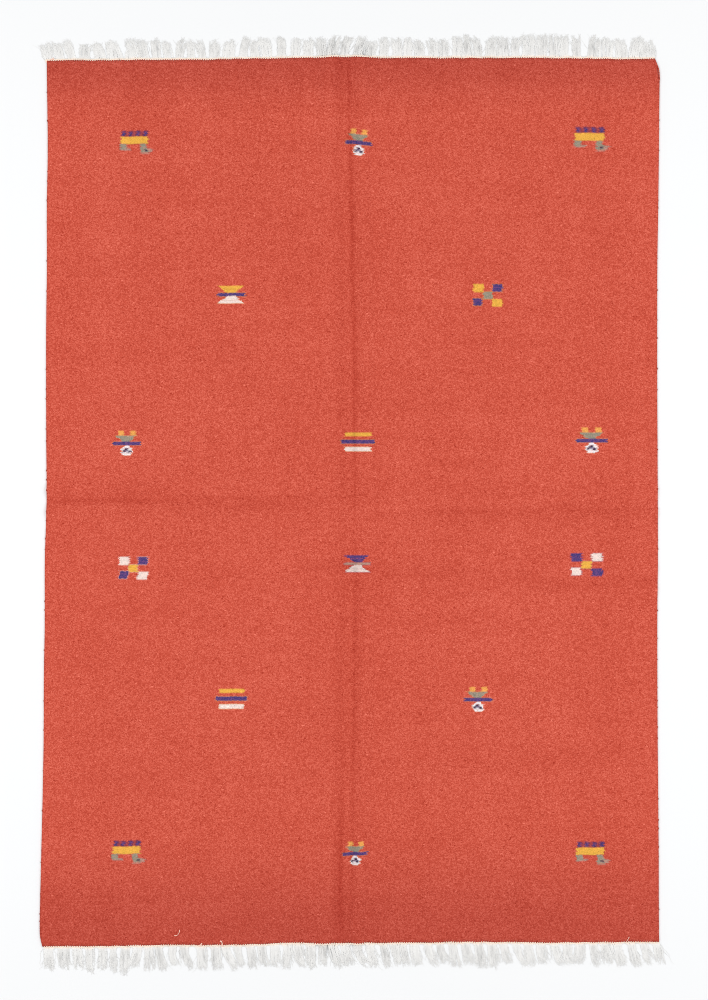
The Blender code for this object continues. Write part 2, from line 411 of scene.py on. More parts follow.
# Motifs as the weaver charts them, in millimetres from the middle of their main bar, heads down as
# they come off this loom. A bar is colour, left, right, lower, upper; a wedge adds its left and right
# at its upper edge. A place is x, y, then how much wider and taller, and how far it slants.
animal = (
    ("plum", -33, 36, 19, 33.5), ("mulberry", -34, -21.5, 19, 35), ("mulberry", -15.5, -3, 19, 35),
    ("mulberry", 3.5, 16, 19, 35), ("mulberry", 22.5, 35.5, 19, 35), ("indigo", -31, -25, 21, 32),
    ("indigo", -13, -6.5, 21, 31), ("indigo", 6.5, 13, 21, 32), ("indigo", 25.5, 32.5, 21, 32),
    ("gold", -36, 36, -0.5, 19.5), ("mauve", -36, -19, -17, -10), ("sage", -37, -19, -14, 0.5),
    ("mauve", -20, -7.5, -16.5, -10.5), ("blush", 17, 39, -27, -20), ("mauve", 35, 46, -22, -11.5),
    ("sage", 16, 32, -12, 0.5), ("sage", 16, 36, -22, -10), ("mauve", 44, 52, -16.5, -13.5),
    ("navy", 26.5, 34.5, -19, -14.5),
)
figure = (
    ("amber", -22, -7.5, 19, 33.5), ("amber", 9, 23.5, 19, 33.5), ("sage", -6.5, 6.5, 3, 21, -31, 26),
    ("white", -12.5, 12.5, -13, -3.5, -3, 3), ("white", -14.5, 14.5, -26, -12),
    ("white", -9, 9, -31, -25, -14.5, 14.5), ("indigo", -37, 37, -5, 5.5), ("dusk", -7, 6, -21, -15),
    ("navy", -5.5, 3, -17.5, -11), ("navy", -12, -4.5, -23, -17), ("navy", 3, 11, -24.5, -18),
)
threeBars = (
    ("gold", -33, 34, 15, 25), ("indigo", -43, 43, -5.5, 6.5), ("cream", -33.5, 33.5, -25.5, -13),
)


def hourglass(upper, middle, lower, thick):
    return ((upper, -11, 8.5, 2, 14, -25, 21), (upper, -25, 20, 13, 22, -37, 31.5),
            (middle, -37, 37, -thick - 1, thick - 1),
            (lower, -25, 22, -16, -4, -11.5, 9.5), (lower, -38, 34, -24, -15, -26, 23))


def fiveSquares(upperLeft, upperRight, middle, lowerLeft, lowerRight):
    return ((upperLeft, -38, -11.5, 8.5, 30), (upperRight, 11.5, 38.5, 9, 30),
            (middle, -12.5, 12.5, -10, 10),
            (lowerLeft, -38, -14, -27, -6.5), (lowerRight, 11.5, 38.5, -29, -9))


motifs = (
    (animal, ((-566.5, 928.5, 1, 1, 0), (616, 937, 1.08, 1.04, 0), (-587.5, -916, 1, 1, 0),
              (618.5, -918.5, 1.02, 1, 0))),
    (figure, ((16.5, 931, 0.94, 1.06, -0.07), (-587, 150, 1, 1, 0), (621.5, 157.5, 1.12, 1.03, 0),
              (327, -515.5, 1, 1, 0), (8, -915.5, 0.88, 0.95, 0.05))),
    (threeBars, ((13.5, 154.5, 1.03, 0.97, 0), (-313.5, -513, 0.97, 1.03, 0))),
    (hourglass("gold", "indigo", "cream", 5), ((-314.5, 538, 1, 1, 0),)),
    (hourglass("indigo", "taupe", "cream", 3.5), ((13.5, -161, 0.93, 0.96, 0),)),
    (fiveSquares("gold", "indigo", "sage", "indigo", "gold"), ((351.5, 535, 1, 1, 0),)),
    (fiveSquares("cream", "indigo", "gold", "indigo", "cream"), ((-569.5, -174, 0.97, 1, 0),)),
    (fiveSquares("indigo", "cream", "gold", "cream", "indigo"), ((608.5, -165, 1.07, 1.02, 0),)),
)
motifReach = (62, 44)       # no motif is wider or taller than this from its place
patternMargin = (12, 45)    # plain wool around it that is woven with the patterned yarn too
offChart = 1000             # a height that no motif's chart reaches


def ribAt(x, y):
    left, right = sidesAt(y)
    return (x - left) / (right - left) * cloth["ribs"]


def pickAt(y):
    return (y + halfLength) / pickPitch


def unstretched(x, y):
    # the row that a place on the finished cloth was woven in
    bulge = edgeCurves["top" if y > 0 else "bottom"](x)
    return y / (1 + bulge / halfLength)


def covering(graph, away, half):
    # fuzz blends the yarns over the last millimetres of a shape
    share = (half - away) * (1 / wool["motifFuzz"]) + 0.5
    return graph.node("ShaderNodeClamp", (), (share,))


def drawMotif(graph, shapes, places, rib, pick):
    # all places of one motif are read from one chart: each shifts its own patch to the middle
    x, y = 0, offChart
    for placeX, placeY, wide, tall, slant in places:
        placePick = float(pickAt(unstretched(placeX, placeY)))
        besideX = (rib - float(ribAt(placeX, placeY))) * (ribPitch / wide)
        besideY = (pick - placePick) * (pickPitch / tall)
        near = (abs(besideX) < motifReach[0]) * (abs(besideY) < motifReach[1])
        x = near * besideX + x
        y = near * (besideY - besideX * slant - offChart) + y
    colour, covered = None, None
    for name, left, right, lower, upper, *wedge in shapes:
        middle, half = (right + left) / 2, (right - left) / 2
        if wedge:
            upperMiddle, upperHalf = (wedge[1] + wedge[0]) / 2, (wedge[1] - wedge[0]) / 2
            rise = (y - lower) * (1 / (upper - lower))
            across = covering(graph, abs(x - (rise * (upperMiddle - middle) + middle)),
                              rise * (upperHalf - half) + half)
        else:
            across = covering(graph, abs(x - middle), half)
        inside = across * covering(graph, abs(y - (lower + upper) / 2), (upper - lower) / 2)
        colour = motifColours[name] if colour is None else graph.mix(inside, colour, motifColours[name])
        covered = inside if covered is None else graph.math("MAXIMUM", covered, inside)
    return colour, covered


def woolGraph(name, patterned):
    graph = Graph(name)
    weave = graph.node("ShaderNodeUVMap", {"uv_map": "weave"})
    place = graph.node("ShaderNodeTexCoord", output="Object")
    rib, pick = graph.split(weave)[:2]
    # the strength of the fold lines, for their painted shade and painted highlight
    foldShading = graph.attribute("foldMark")
    # painted shade of the last rows and of the cords along the edges
    hollow = graph.attribute("hollow")

    # each weft turn over a warp bundle is one bead; every second rib is half a turn on
    ribNumber = graph.floor(rib)
    odd = graph.math("MODULO", ribNumber, 2)
    turn = pick + odd * 0.5
    turnNumber = graph.floor(turn)
    inTurn = turn - turnNumber
    inRib = rib - ribNumber

    # heathered yarn: flecks along the yarn, its fibres, slow streaks along the weft and bands
    # along the warp; the last number of a joined place only keeps two patterns apart
    slip = graph.random(graph.join(turnNumber, 2))
    grains = {
        "fleck": graph.random(graph.join(graph.floor(rib * 2.1 + slip), turnNumber, 3)),
        "fibre": graph.noise(place, 330, 1),
        "fine": graph.noise(place, 1400, 1),
        "streak": graph.noise(graph.join(rib * 0.012, pick * 0.04, 4), 1, 3, 0.6),
        "patch": graph.noise(place, 7),
        "warpBand": graph.noise(graph.join(rib * 0.06, pick * 0.0015, 7), 1, 2, 0.6),
    }
    tone = sum(((grains[kind] - 0.5) * share for kind, share in wool["tones"].items()), 0.5)
    (paleShare, paler), (darkShare, deeper) = wool["pale"], wool["dark"]
    rare = graph.random(graph.join(turnNumber, graph.floor(rib * 1.4 + slip), 11))
    tone = tone + (rare > 1 - paleShare) * paler - (rare < darkShare) * deeper
    ground = graph.node("ShaderNodeValToRGB", {"stops": (
        (0.0, wool["deep"]), (0.5, wool["main"]), (1.0, wool["light"]))}, {"Fac": tone})

    # painted shade makes the folds a deeper red, painted highlight makes light ridges paler,
    # both ends are a deeper red, and the last rows and edge cords take their own painted shade
    fold, end = foldShading * foldShade, endShade(graph, pick)
    # turned and last are the shares of red, green and blue lost to the painted fold shade and to the
    # darker ends
    kept = [(1 - hollow * shaded) * (1 - fold * turned - end * last)
            for shaded, turned, last in zip(wool["paintedShadeTint"], wool["foldShadeTint"], wool["endTint"])]
    colour = graph.mix(1.0, ground, graph.join(*kept), "MULTIPLY")

    if patterned:
        # motifs change colour only between yarns, so their edges step with the weave
        halfRib = (graph.floor(rib * 2) + 0.5) * 0.5 + (slip - 0.5) * 0.9
        halfTurn = turnNumber + 0.5 - odd * 0.5
        # a motif's yarn has its own random tone and takes the folds' painted shade and painted
        # highlight in grey
        toneAndFoldShade = (tone * wool["motifRange"] + wool["motifLight"]) * (1 - fold)
        toneAndFoldShadeColour = graph.join(toneAndFoldShade, toneAndFoldShade, toneAndFoldShade)
        for shapes, places in motifs:
            dye, covered = drawMotif(graph, shapes, places, halfRib, halfTurn)
            dyed = graph.mix(1.0, dye, toneAndFoldShadeColour, "MULTIPLY")
            colour = graph.mix(covered * (1 - grains["fleck"] * wool["showThrough"]), colour, dyed)

    # relief of the beads and their fibres
    bead = graph.math("SINE", inTurn * math.pi)
    across = graph.math("SINE", inRib * math.pi)
    height = (bead * (0.4 + across * 0.6) + (grains["fibre"] - 0.5) * wool["fibreRelief"]
              + (grains["fine"] - 0.5) * wool["fineRelief"])
    normal = graph.node("ShaderNodeBump", (), {
        "Strength": wool["bump"], "Distance": wool["bumpHeight"], "Height": height})
    rough = wool["roughness"] + (grains["fibre"] - 0.5) * 0.2
    return graph.finish(colour, rough, normal, Sheen_Weight=0.05, Sheen_Roughness=0.6,
                        Specular_IOR_Level=0.15)


def endShade(graph, pick):
    shades = []
    for last, (length, most), inward in (
            (cloth["picks"], wool["topEnd"], -1), (0, wool["bottomEnd"], 1)):
        shades.append(graph.node("ShaderNodeMapRange", {"interpolation_type": "SMOOTHSTEP"}, {
            "Value": pick, "From Min": last + inward * length / pickPitch, "From Max": last,
            "To Min": 0, "To Max": most}))
    return shades[0] + shades[1]


edges = {
    "sideRadius": 1.9,
    "sideBump": 0.28,       # each weft turns round the outer warp, two rows to a bump
    "sideRib": 0.4,         # the cord takes its yarn from this far inside the outer rib
    "loopEvery": 26,        # some turns stand out as a small loop
    "loopJitter": 5,
    "loopHeight": 2.4,
    "loopWidth": 1.8,
    "loopShade": 0.6,       # a loop is painted darker, as painted shade
    "turnShade": 0.12,      # painted shade along the turned weft of a side
    "endRadius": 1.7,
    "endBump": 0.55,        # one knuckle of the last weft over each rib
    "endInset": 1.25,
    "endTooth": 1.15,       # how far the knuckles reach between the half hitches
    "cordShade": (0.15, 0.35),    # painted shade of the last turn, and what a knuckle has more
    "cornerGap": 2,         # the cords of the ends stop this far inside the corners
    "sideClearance": 0.2,   # between a cord and the floor
    "endClearance": 0.3,
    "sides": 6,
    "stations": 4,          # points along a cord for each turn or rib
}


def inRow(x, y, z):
    # the weaver's millimetres as metres in the frame
    return np.stack([(x + rowShift[0]) * mm, (y + rowShift[1]) * mm, z * mm], -1)


def addAttribute(mesh, name, values):
    layer = mesh.attributes.new(name, "FLOAT", "POINT")
    layer.data.foreach_set("value", np.asarray(values, np.float32))


def addWeaveMap(mesh, ribs, picks):
    # rib and pick numbers of every corner, so the weave follows the cloth
    corners = np.zeros(len(mesh.loops), np.int32)
    mesh.loops.foreach_get("vertex_index", corners)
    layer = mesh.uv_layers.new(name="weave")
    both = np.stack([ribs[corners], picks[corners]], -1)
    layer.data.foreach_set("uv", both.astype(np.float32).ravel())


def addPiece(name, points, faces, material):
    mesh = bpy.data.meshes.new(name)
    mesh.from_pydata(points.reshape(-1, 3).tolist(), [], faces)
    mesh.update()
    mesh.shade_smooth()
    mesh.materials.append(material)
    piece = bpy.data.objects.new(name, mesh)
    bpy.context.scene.collection.objects.link(piece)
    return piece


def spreadRows():
    # rows of the cloth's grid, close together where a fold runs across: start, stop, how many
    stretches = ((-1150, -1147, 1), (-1147, -1142, 1), (-1142, -1140, 1), (-1140, -260, 14),
                 (-260, -130, 18), (-130, -60, 7), (-60, 50, 18), (50, 270, 5), (270, 310, 4),
                 (310, 360, 1), (360, 400, 4), (400, 570, 3), (570, 660, 9), (660, 1140, 8),
                 (1140, 1142, 1), (1142, 1147, 1), (1147, 1150, 1))
    rows = [float(stretches[0][0])]
    for start, stop, count in stretches:
        rows += [start + (stop - start) * (i + 1) / count for i in range(count)]
    return np.array(rows)


def ribProfile():
    # the columns of a rib: the valley beside it and the two sides of its round back
    columns = np.arange(cloth["ribs"] * cloth["columnsPerRib"] + 1)
    heights = np.where(columns % cloth["columnsPerRib"] == 0, 0.0, 1.0)
    return columns / cloth["columnsPerRib"], heights


def buildField(material):
    ribs, backs = ribProfile()
    ribs, y = np.meshgrid(ribs, spreadRows())
    backs = np.broadcast_to(backs, ribs.shape)
    left, right = sidesAt(y)
    x = left + (right - left) * ribs / cloth["ribs"]
    newY = stretched(x, y)
    lift = liftAt(x, newY)
    marks = marksAt(x, newY)
    # painted shade over the last rows at both ends, darkest in the valleys between ribs
    shaded = mixed((cloth["shadedValley"], cloth["shadedRib"]), backs)
    paintedShades = np.clip(1 - (halfLength - abs(y)) / cloth["shadedRows"], 0, 1) * shaded
    (waveX, waveY), (bendX, bendY) = cloth["waveLengths"], cloth["waveBends"]
    waves = np.sin(x / waveX + np.sin(newY / bendY)) * np.sin(newY / waveY + 1.3 * np.sin(x / bendX))
    crest = cloth["thickness"] - cloth["ribDepth"] * (1 - backs)
    rim = np.clip(np.minimum(x - left, right - x) / cloth["rimWidth"], 0, 1)
    face = crest - marks * foldDepth + waves * cloth["unevenness"]
    top = lift + face * mixed((cloth["rimHeight"], 1), rim)
    under = lift + cloth["underside"]

    rowCount, columnCount = x.shape
    topNumber = np.arange(rowCount * columnCount).reshape(x.shape)
    # the underside has fewer columns and joins the face along the edges
    kept = np.arange(0, columnCount, cloth["underEvery"])
    underNumber = topNumber.size + np.arange(rowCount * len(kept)).reshape(rowCount, len(kept))
    points = np.concatenate([
        inRow(x, newY, top).reshape(-1, 3),
        inRow(x[:, kept], newY[:, kept], under[:, kept]).reshape(-1, 3)])

    faces = [*quads(topNumber), *quads(underNumber[:, ::-1])]
    for row, outward in ((0, 1), (rowCount - 1, -1)):
        for i in range(len(kept) - 1):
            upper = topNumber[row, kept[i]:kept[i + 1] + 1]
            lower = underNumber[row, i:i + 2]
            faces.append([int(n) for n in (*upper[::-outward], *lower[::outward])])
    for column, keptColumn, outward in ((0, 0, -1), (columnCount - 1, len(kept) - 1, 1)):
        for row in range(rowCount - 1):
            side = [topNumber[row, column], topNumber[row + 1, column],
                    underNumber[row + 1, keptColumn], underNumber[row, keptColumn]]
            faces.append([int(n) for n in side[::-outward]])
    piece = addPiece("kilim_field", points, faces, material)
    ribs, picks, marks, paintedShades = [
        np.concatenate([values.ravel(), values[:, kept].ravel()])
        for values in (ribs, pickAt(y), marks, paintedShades)]
    addWeaveMap(piece.data, ribs, picks)
    addAttribute(piece.data, "foldMark", marks)
    addAttribute(piece.data, "hollow", paintedShades)
    return piece


def quads(numbers):
    # faces between neighbouring rows and columns of a grid of vertex numbers, seen from above
    corners = np.stack([numbers[:-1, :-1], numbers[:-1, 1:], numbers[1:, 1:], numbers[1:, :-1]], -1)
    return corners.reshape(-1, 4).tolist()


def patternFaces(mesh):
    # the faces that any motif could touch carry the patterned wool
    centres = np.zeros(len(mesh.polygons) * 3, np.float32)
    mesh.polygons.foreach_get("center", centres)
    x = centres[0::3] / mm - rowShift[0]
    y = centres[1::3] / mm - rowShift[1]
    touched = np.zeros(len(x), bool)
    reachX, reachY = np.add(motifReach, patternMargin)
    for shapes, places in motifs:
        for place in places:
            touched |= (abs(x - place[0]) < reachX) & (abs(y - place[1]) < reachY)
    mesh.polygons.foreach_set("material_index", touched.astype(np.int32))


plainWool = woolGraph("heathered red wool", False)
field = buildField(plainWool)
field.data.materials.append(woolGraph("heathered red wool with motifs", True))
patternFaces(field.data)
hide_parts("rug_field")
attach(field, "root")
print("stage: cloth woven,", len(field.data.polygons), "faces")


def tubeMesh(paths, radii, sides, flat=1):
    # closed tubes along many paths of equal length; paths is tubes x points x 3, in millimetres
    ahead = np.gradient(paths, axis=1)
    ahead /= np.linalg.norm(ahead, axis=2, keepdims=True)
    aside = np.cross(ahead, (0, 0, 1.0))
    aside /= np.maximum(np.linalg.norm(aside, axis=2, keepdims=True), 1e-6)
    upward = np.cross(aside, ahead)
    turn = np.arange(sides) * 2 * math.pi / sides + math.pi / 2
    ring = (aside[:, :, None] * np.cos(turn)[None, None, :, None]
            + upward[:, :, None] * np.sin(turn)[None, None, :, None] * flat)
    points = paths[:, :, None] + ring * radii[:, :, None, None]
    tubes, length = paths.shape[:2]
    numbers = np.arange(tubes * length * sides).reshape(tubes, length, sides)
    around = np.roll(numbers, -1, axis=2)
    skin = np.stack([numbers[:, :-1], around[:, :-1], around[:, 1:], numbers[:, 1:]], -1)
    caps = [*numbers[:, 0, ::-1].tolist(), *numbers[:, -1].tolist()]
    return points, [*skin.reshape(-1, 4).tolist(), *caps]


def joined(parts):
    # several meshes as one: their points, and their faces with new numbers
    points, faces, start = [], [], 0
    for corners, skin in parts:
        points.append(corners.reshape(-1, 3))
        faces += [[start + number for number in face] for face in skin]
        start += len(points[-1])
    return np.concatenate(points), faces


def drift(chance, x, most):
    # a share that wanders along a cord, drawn anew at every sixth point
    return np.interp(x, x[::6], chance.uniform(0, most, len(x[::6])))


def sideCord(side):
    # side is 1 at the right and -1 at the left
    turnPitch = 2 * pickPitch
    y = np.arange(1 - halfLength, halfLength - 1, turnPitch / edges["stations"])
    edge = sidesAt(y)[1 if side > 0 else 0]
    chance = np.random.default_rng(11 + side)
    loops = np.arange(10 - halfLength, halfLength - 10, edges["loopEvery"])
    loops = loops + chance.uniform(-edges["loopJitter"], edges["loopJitter"], len(loops))
    heights = edges["loopHeight"] * chance.uniform(0, 1, len(loops)) ** 2
    stand = (np.exp(-((y[:, None] - loops) / edges["loopWidth"]) ** 2) * heights).sum(1)
    radius = edges["sideRadius"] + edges["sideBump"] * np.sin(2 * math.pi * y / turnPitch)
    x = edge - side * (edges["sideRadius"] + 0.1) + side * stand
    newY = stretched(x, y)
    z = liftAt(x, newY) + radius + edges["sideClearance"]
    ribs = np.full(len(y), cloth["ribs"] - edges["sideRib"] if side > 0 else edges["sideRib"])
    # painted shade along the side cord, more of it on the loops
    dim = edges["turnShade"] + edges["loopShade"] * stand / edges["loopHeight"]
    return np.stack([x, newY, z], -1), radius, ribs, pickAt(y), dim


def endCord(end):
    left, right = sidesAt(end * halfLength)
    x = np.arange(1 - halfWidth, halfWidth - 1, ribPitch / edges["stations"])
    gap = edges["cornerGap"]
    x = left + gap + (right - left - 2 * gap) * (x - x[0]) / (x[-1] - x[0])
    ribs = (x - left) / (right - left) * cloth["ribs"]
    knuckle = -np.cos(2 * math.pi * ribs)
    chance = np.random.default_rng(21 + end)
    tooth = edges["endTooth"] * knuckle * drift(chance, x, 2)
    y = endAt(x, end) + end * (tooth - edges["endInset"])
    radius = edges["endRadius"] + edges["endBump"] * knuckle
    z = liftAt(x, endAt(x, end)) + radius + edges["endClearance"]
    everywhere, onKnuckle = edges["cordShade"]
    # painted shade on the last weft, most on the knuckles and uneven along the edge
    hollow = (everywhere + onKnuckle * np.clip(knuckle, 0, 1)) * drift(chance, x, 1.5)
    picks = np.full(len(x), pickAt(end * halfLength))
    return np.stack([x, y, z], -1), radius, ribs, picks, hollow


def buildEdges(material):
    lines, radii, *shares = zip(sideCord(-1), sideCord(1), endCord(-1), endCord(1))
    points, faces = joined([
        tubeMesh(line[None], radius[None], edges["sides"]) for line, radius in zip(lines, radii)])
    ribs, picks, paintedShades = [np.repeat(np.concatenate(parts), edges["sides"]) for parts in shares]
    piece = addPiece("woven_edges", inRow(*points.T), faces, material)
    addWeaveMap(piece.data, ribs, picks)
    addAttribute(piece.data, "hollow", paintedShades)
    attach(piece, "root")
    return piece


wovenEdges = buildEdges(plainWool)
print("stage: edges turned,", len(wovenEdges.data.polygons), "faces")


fringe = {
    # a bunch; chance picks between the numbers of a pair
    "bunchPitch": 33,
    "slits": {"root": 16, "tip": 3},    # between two bunches, near the wool and at their tips
    "gather": 10,           # a bunch has drawn together this far from the wool
    "reachJitter": 5,
    "tilt": 2.5,            # how far a bunch leans aside
    "spread": (0.75, 1.1),  # width of its tips against the plan's
    "hooks": (0, 0, 0, 5, -5),      # some bunches bend aside at their tips
    "hookJitter": 1.5,
    "curlTurns": (0.7, 1.2),
    "strays": 12,           # the most thin strands that stray out of a bunch over the gaps
    "strayTip": 12,
    "strayBow": 3.5,
    "strayWidth": 0.7,
    # a cord of a bunch
    "cordsPerRib": 2.7,
    "fewestCords": 4,
    "rounding": 0.07,       # the cords at a bunch's sides are this much shorter
    "cordReach": (0.66, 1.17, 1),   # shortest, longest and usual share of a bunch's reach
    "tipJitter": 2.2,
    "bow": 2.2,             # how far a cord bends to one side, and to both
    "sway": 1.2,
    "inWool": 4,            # a cord starts this far inside the wool
    "rootHeight": 1.8,
    "lowest": 0.6,
    "layers": 0.7,          # cords lie over each other up to this much higher
    "fall": (1.5, 5),       # how steeply it drops to the floor where the cloth stands off it
    "twist": 26,            # length of one full turn of a cord
    "crimp": 0.5,           # waves that the weave left in the yarn
    "crimpLength": (8, 13),
    # a strand of a cord
    "strands": 4,
    "strandRadius": 0.85,
    "strandWidth": (0.8, 1.1),
    "flatness": 0.27,       # a loose strand is this much thinner than it is wide
    "opening": 2.2,         # how far the strands of a cord come apart, and over what length
    "openingLength": 12,
    "frayFrom": (0.6, 0.9),
    "fray": (3, 18),
    "slack": (-3, 1),       # some strands end short of their cord
    "tones": (0.34, 0.3, 0.15, 0.1),    # shares of its bunch, its place in it, its cord and itself
    "points": 10,
    "sides": 3,
    # two rows of half hitches hold the last weft: how far from it, how high, how much of a rib
    # they are set over and how far they reach to and fro
    "hitchRadius": 1.3,
    "hitchKnuckle": 0.3,
    "hitchSides": 4,
    "hitchRows": ((1.3, 2.9, 0, 1.2), (3.3, 1.9, 0.5, 0.1)),
    "hitchTone": 0.1,
    "cream": (1.0, 0.85, 0.725),
    "creamReach": (0.06, 0.22),     # the cream of the roots fades over this share of a strand
    "white": (0.875, 0.868, 0.853),
    "grey": (0.775, 0.767, 0.752),
    "shade": (0.55, 0.545, 0.535),
    "greyingAndShade": 0.95,           # how unevenly the cotton greys, partly its own greying and partly painted shade
    "greyness": 0.13,
}
# Where each fringe parts: place, width at the wool, width at the tips, shift of the tips to the right.
# A curl is a place where a bunch has rolled up, and how wide it rolled.
fringeEnds = {
    "fringe_top": {
        "end": 1,
        "seed": 4,
        # the bunches of this fringe start this much greyer
        "greyedMore": 0.06,
        "partings": (
            (-797, 0, 0, -22), (-713, 16, 13, -9), (-638, 3, 18, -6), (-591, 5, 22, -8),
            (-522, 10, 2, -6), (-464, 13, 18, -3), (-375, 8, 16, -5), (-343, 13, 10, -4),
            (-300, 16, 21, 0), (-204, 21, 23, 0), (-66, 3, 16, 0), (129, 8, 5, 0), (225, 8, 2, 0),
            (283, 10, 2, 0), (311, 10, 3, -3), (340, 10, 10, 0), (379, 10, 8, 0), (439, 10, 3, 0),
            (475, 10, 2, 0), (506, 10, 5, 0), (540, 10, 2, 0), (601, 23, 23, 1), (638, 10, 2, 1),
            (680, 13, 10, 3), (717, 5, 10, 0), (747, 8, 2, 1), (787, 0, 0, 2)),
        "reach": ((-797, 51), (-500, 52), (-250, 54), (-10, 51), (220, 53), (590, 58), (787, 50)),
        "curls": ((-688, 7), (-560, 9), (-250, 6), (60, 6), (420, 6)),
    },
    "fringe_bottom": {
        "end": -1,
        "seed": 9,
        "greyedMore": 0.0,
        "partings": (
            (-803, 0, 0, 0), (-731, 13, 16, 0), (-668, 18, 21, 4), (-574, 16, 2, -9),
            (-544, 8, 13, -3), (-517, 5, 5, 14), (-417, 23, 18, 10), (-343, 3, 26, 20),
            (-284, 16, 2, 8), (-157, 10, 13, 3), (-63, 3, 18, 5), (62, 21, 18, 18), (116, 5, 3, 5),
            (309, 16, 2, 16), (376, 13, 5, 16), (506, 18, 16, 9), (609, 18, 13, 8), (667, 10, 8, 18),
            (706, 18, 2, 18), (795, 0, 0, 22)),
        "reach": ((-803, 61), (-560, 66), (-300, 62), (0, 61), (300, 62), (600, 60), (795, 61)),
        "curls": ((-480, 8), (20, 8), (230, 6), (560, 6)),
    },
}


def bunchesOf(plan):
    # as many bunches between two partings as fit at the usual pitch
    chance = random.Random(plan["seed"])
    reach = curve(plan["reach"])
    found = []
    for before, after in zip(plan["partings"], plan["partings"][1:]):
        rootSpan = (before[0] + before[1] / 2, after[0] - after[1] / 2)
        tipSpan = (before[0] + before[3] + before[2] / 2, after[0] + after[3] - after[2] / 2)
        count = max(1, round((after[0] - before[0]) / fringe["bunchPitch"]))
        for i in range(count):
            # the warp leaves the wool evenly, so at the wool a bunch takes its whole share of the edge
            share = (before[0] + (after[0] - before[0]) * i / count,
                     before[0] + (after[0] - before[0]) * (i + 1) / count)
            bunch = {"edge": share}
            for name, (start, stop) in (("root", rootSpan), ("tip", tipSpan)):
                slit = fringe["slits"][name]
                width = (stop - start + slit) / count
                bunch[name] = (start + i * width, start + (i + 1) * width - slit)
            jitter = chance.uniform(-fringe["reachJitter"], fringe["reachJitter"])
            bunch["reach"] = float(reach(sum(bunch["root"]) / 2)) + jitter
            bunch["curl"] = max(
                (size for place, size in plan["curls"] if share[0] <= place < share[1]), default=0)
            found.append(bunch)
    return found


def layStrands(plan, chance):
    # paths of all strands of one fringe, root first, with their radii and tones
    def around(name):
        return chance.gauss(0, fringe[name])

    def between(name):
        return chance.uniform(*fringe[name])

    share = np.linspace(0, 1, fringe["points"])
    paths, radii, tones = [], [], []
    for bunch in bunchesOf(plan):
        ribs = (bunch["edge"][1] - bunch["edge"][0]) / ribPitch
        cords = max(fringe["fewestCords"], round(ribs * fringe["cordsPerRib"]))
        tilt, spread = around("tilt"), between("spread")
        hook = chance.choice(fringe["hooks"]) + around("hookJitter")
        turns, roll = between("curlTurns"), chance.uniform(0, 2 * math.pi)
        bunchTone = chance.random() + plan["greyedMore"]
        strays = [fringe["strays"] * chance.random() > k for k in range(fringe["strays"])]
        for i in range(cords + sum(strays)):
            stray = i >= cords
            across = chance.random() if stray else (i + chance.random()) / cords
            edgeX = mixed(bunch["edge"], across)
            edge = float(endAt(edgeX, plan["end"]))
            lift = float(liftAt(edgeX, edge))
            rootX = mixed(bunch["root"], across)
            tipX = mixed(bunch["tip"], 0.5 + (across - 0.5) * spread) + tilt + around("tipJitter")
            reach = bunch["reach"] * (1 - fringe["rounding"] * abs(2 * across - 1) ** 3)
            reach *= chance.triangular(*fringe["cordReach"])
            bow, sway = around("bow"), around("sway")
            layer, phase = chance.uniform(0, fringe["layers"]), chance.uniform(0, 2 * math.pi)
            wave, start = between("crimpLength"), chance.uniform(0, 2 * math.pi)
            cordTone, middle = chance.random(), 1 - (2 * across - 1) ** 2
            fall = between("fall")
            if stray:
                tipX, bow = tipX + around("strayTip"), around("strayBow")
            out = (reach + fringe["inWool"]) * share - fringe["inWool"]
            gathered = smooth(out / fringe["gather"])
            crimp = fringe["crimp"] * np.sin(out / wave * 2 * math.pi + start)
            x = (edgeX * (1 - gathered) + mixed((rootX, tipX), share**1.5) * gathered
                 + bow * np.sin(share * math.pi) + sway * np.sin(share * 2 * math.pi) * share
                 + hook * share**3 + crimp * np.minimum(share * 4, 1))
            curl = bunch["curl"] * (0.6 + 0.5 * across)
            angle = roll + (turns * share + 0.1 * math.sin(start)) * 2 * math.pi
            x = x + curl * np.sin(angle) * share
            out = out * (1 - 0.1 * (curl > 0)) + 0.8 * curl * (np.cos(angle) - math.cos(roll)) * share
            body = fringe["lowest"] + layer * (1 - 0.6 * share**2)
            z = mixed((fringe["rootHeight"], body), gathered) + lift * (1 - share) ** fall
            strands = 1 if stray else fringe["strands"]
            for strand in range(strands):
                angle = phase + 2 * math.pi * (out / fringe["twist"] + strand / strands)
                opening = chance.uniform(0, fringe["opening"])
                fray = np.clip(share - between("frayFrom"), 0, 1) * between("fray")
                loose = opening * smooth(out / fringe["openingLength"]) + 0.6 + fray
                paths.append(np.stack([
                    x + np.cos(angle) * loose,
                    edge + plan["end"] * (out + between("slack") * share),
                    np.maximum(z + np.sin(angle) * 0.2, 0.5)], -1))
                width = between("strandWidth") * (fringe["strayWidth"] if stray else 1)
                radii.append(fringe["strandRadius"] * width * (1.05 - 0.7 * share**3))
                parts = (bunchTone, middle, cordTone, chance.random())
                tones.append(sum(part * weight for part, weight in zip(parts, fringe["tones"])))
    return np.array(paths), np.array(radii), np.array(tones), share


def hitchLine(plan, row):
    # one half hitch to each warp bundle, the first row reaching in between the wool's knuckles
    away, height, shift, sway = row
    first, last = plan["partings"][0][0] + 1, plan["partings"][-1][0] - 1
    x = np.arange(first, last, ribPitch / edges["stations"])
    knuckle = -np.cos(2 * math.pi * (ribAt(x, plan["end"] * halfLength) + shift))
    chance = np.random.default_rng(plan["seed"] + 40)
    edge = endAt(x, plan["end"])
    y = edge + plan["end"] * (away + sway * knuckle * drift(chance, x, 2))
    z = liftAt(x, edge) + height
    return np.stack([x, y, z], -1), fringe["hitchRadius"] - fringe["hitchKnuckle"] * knuckle


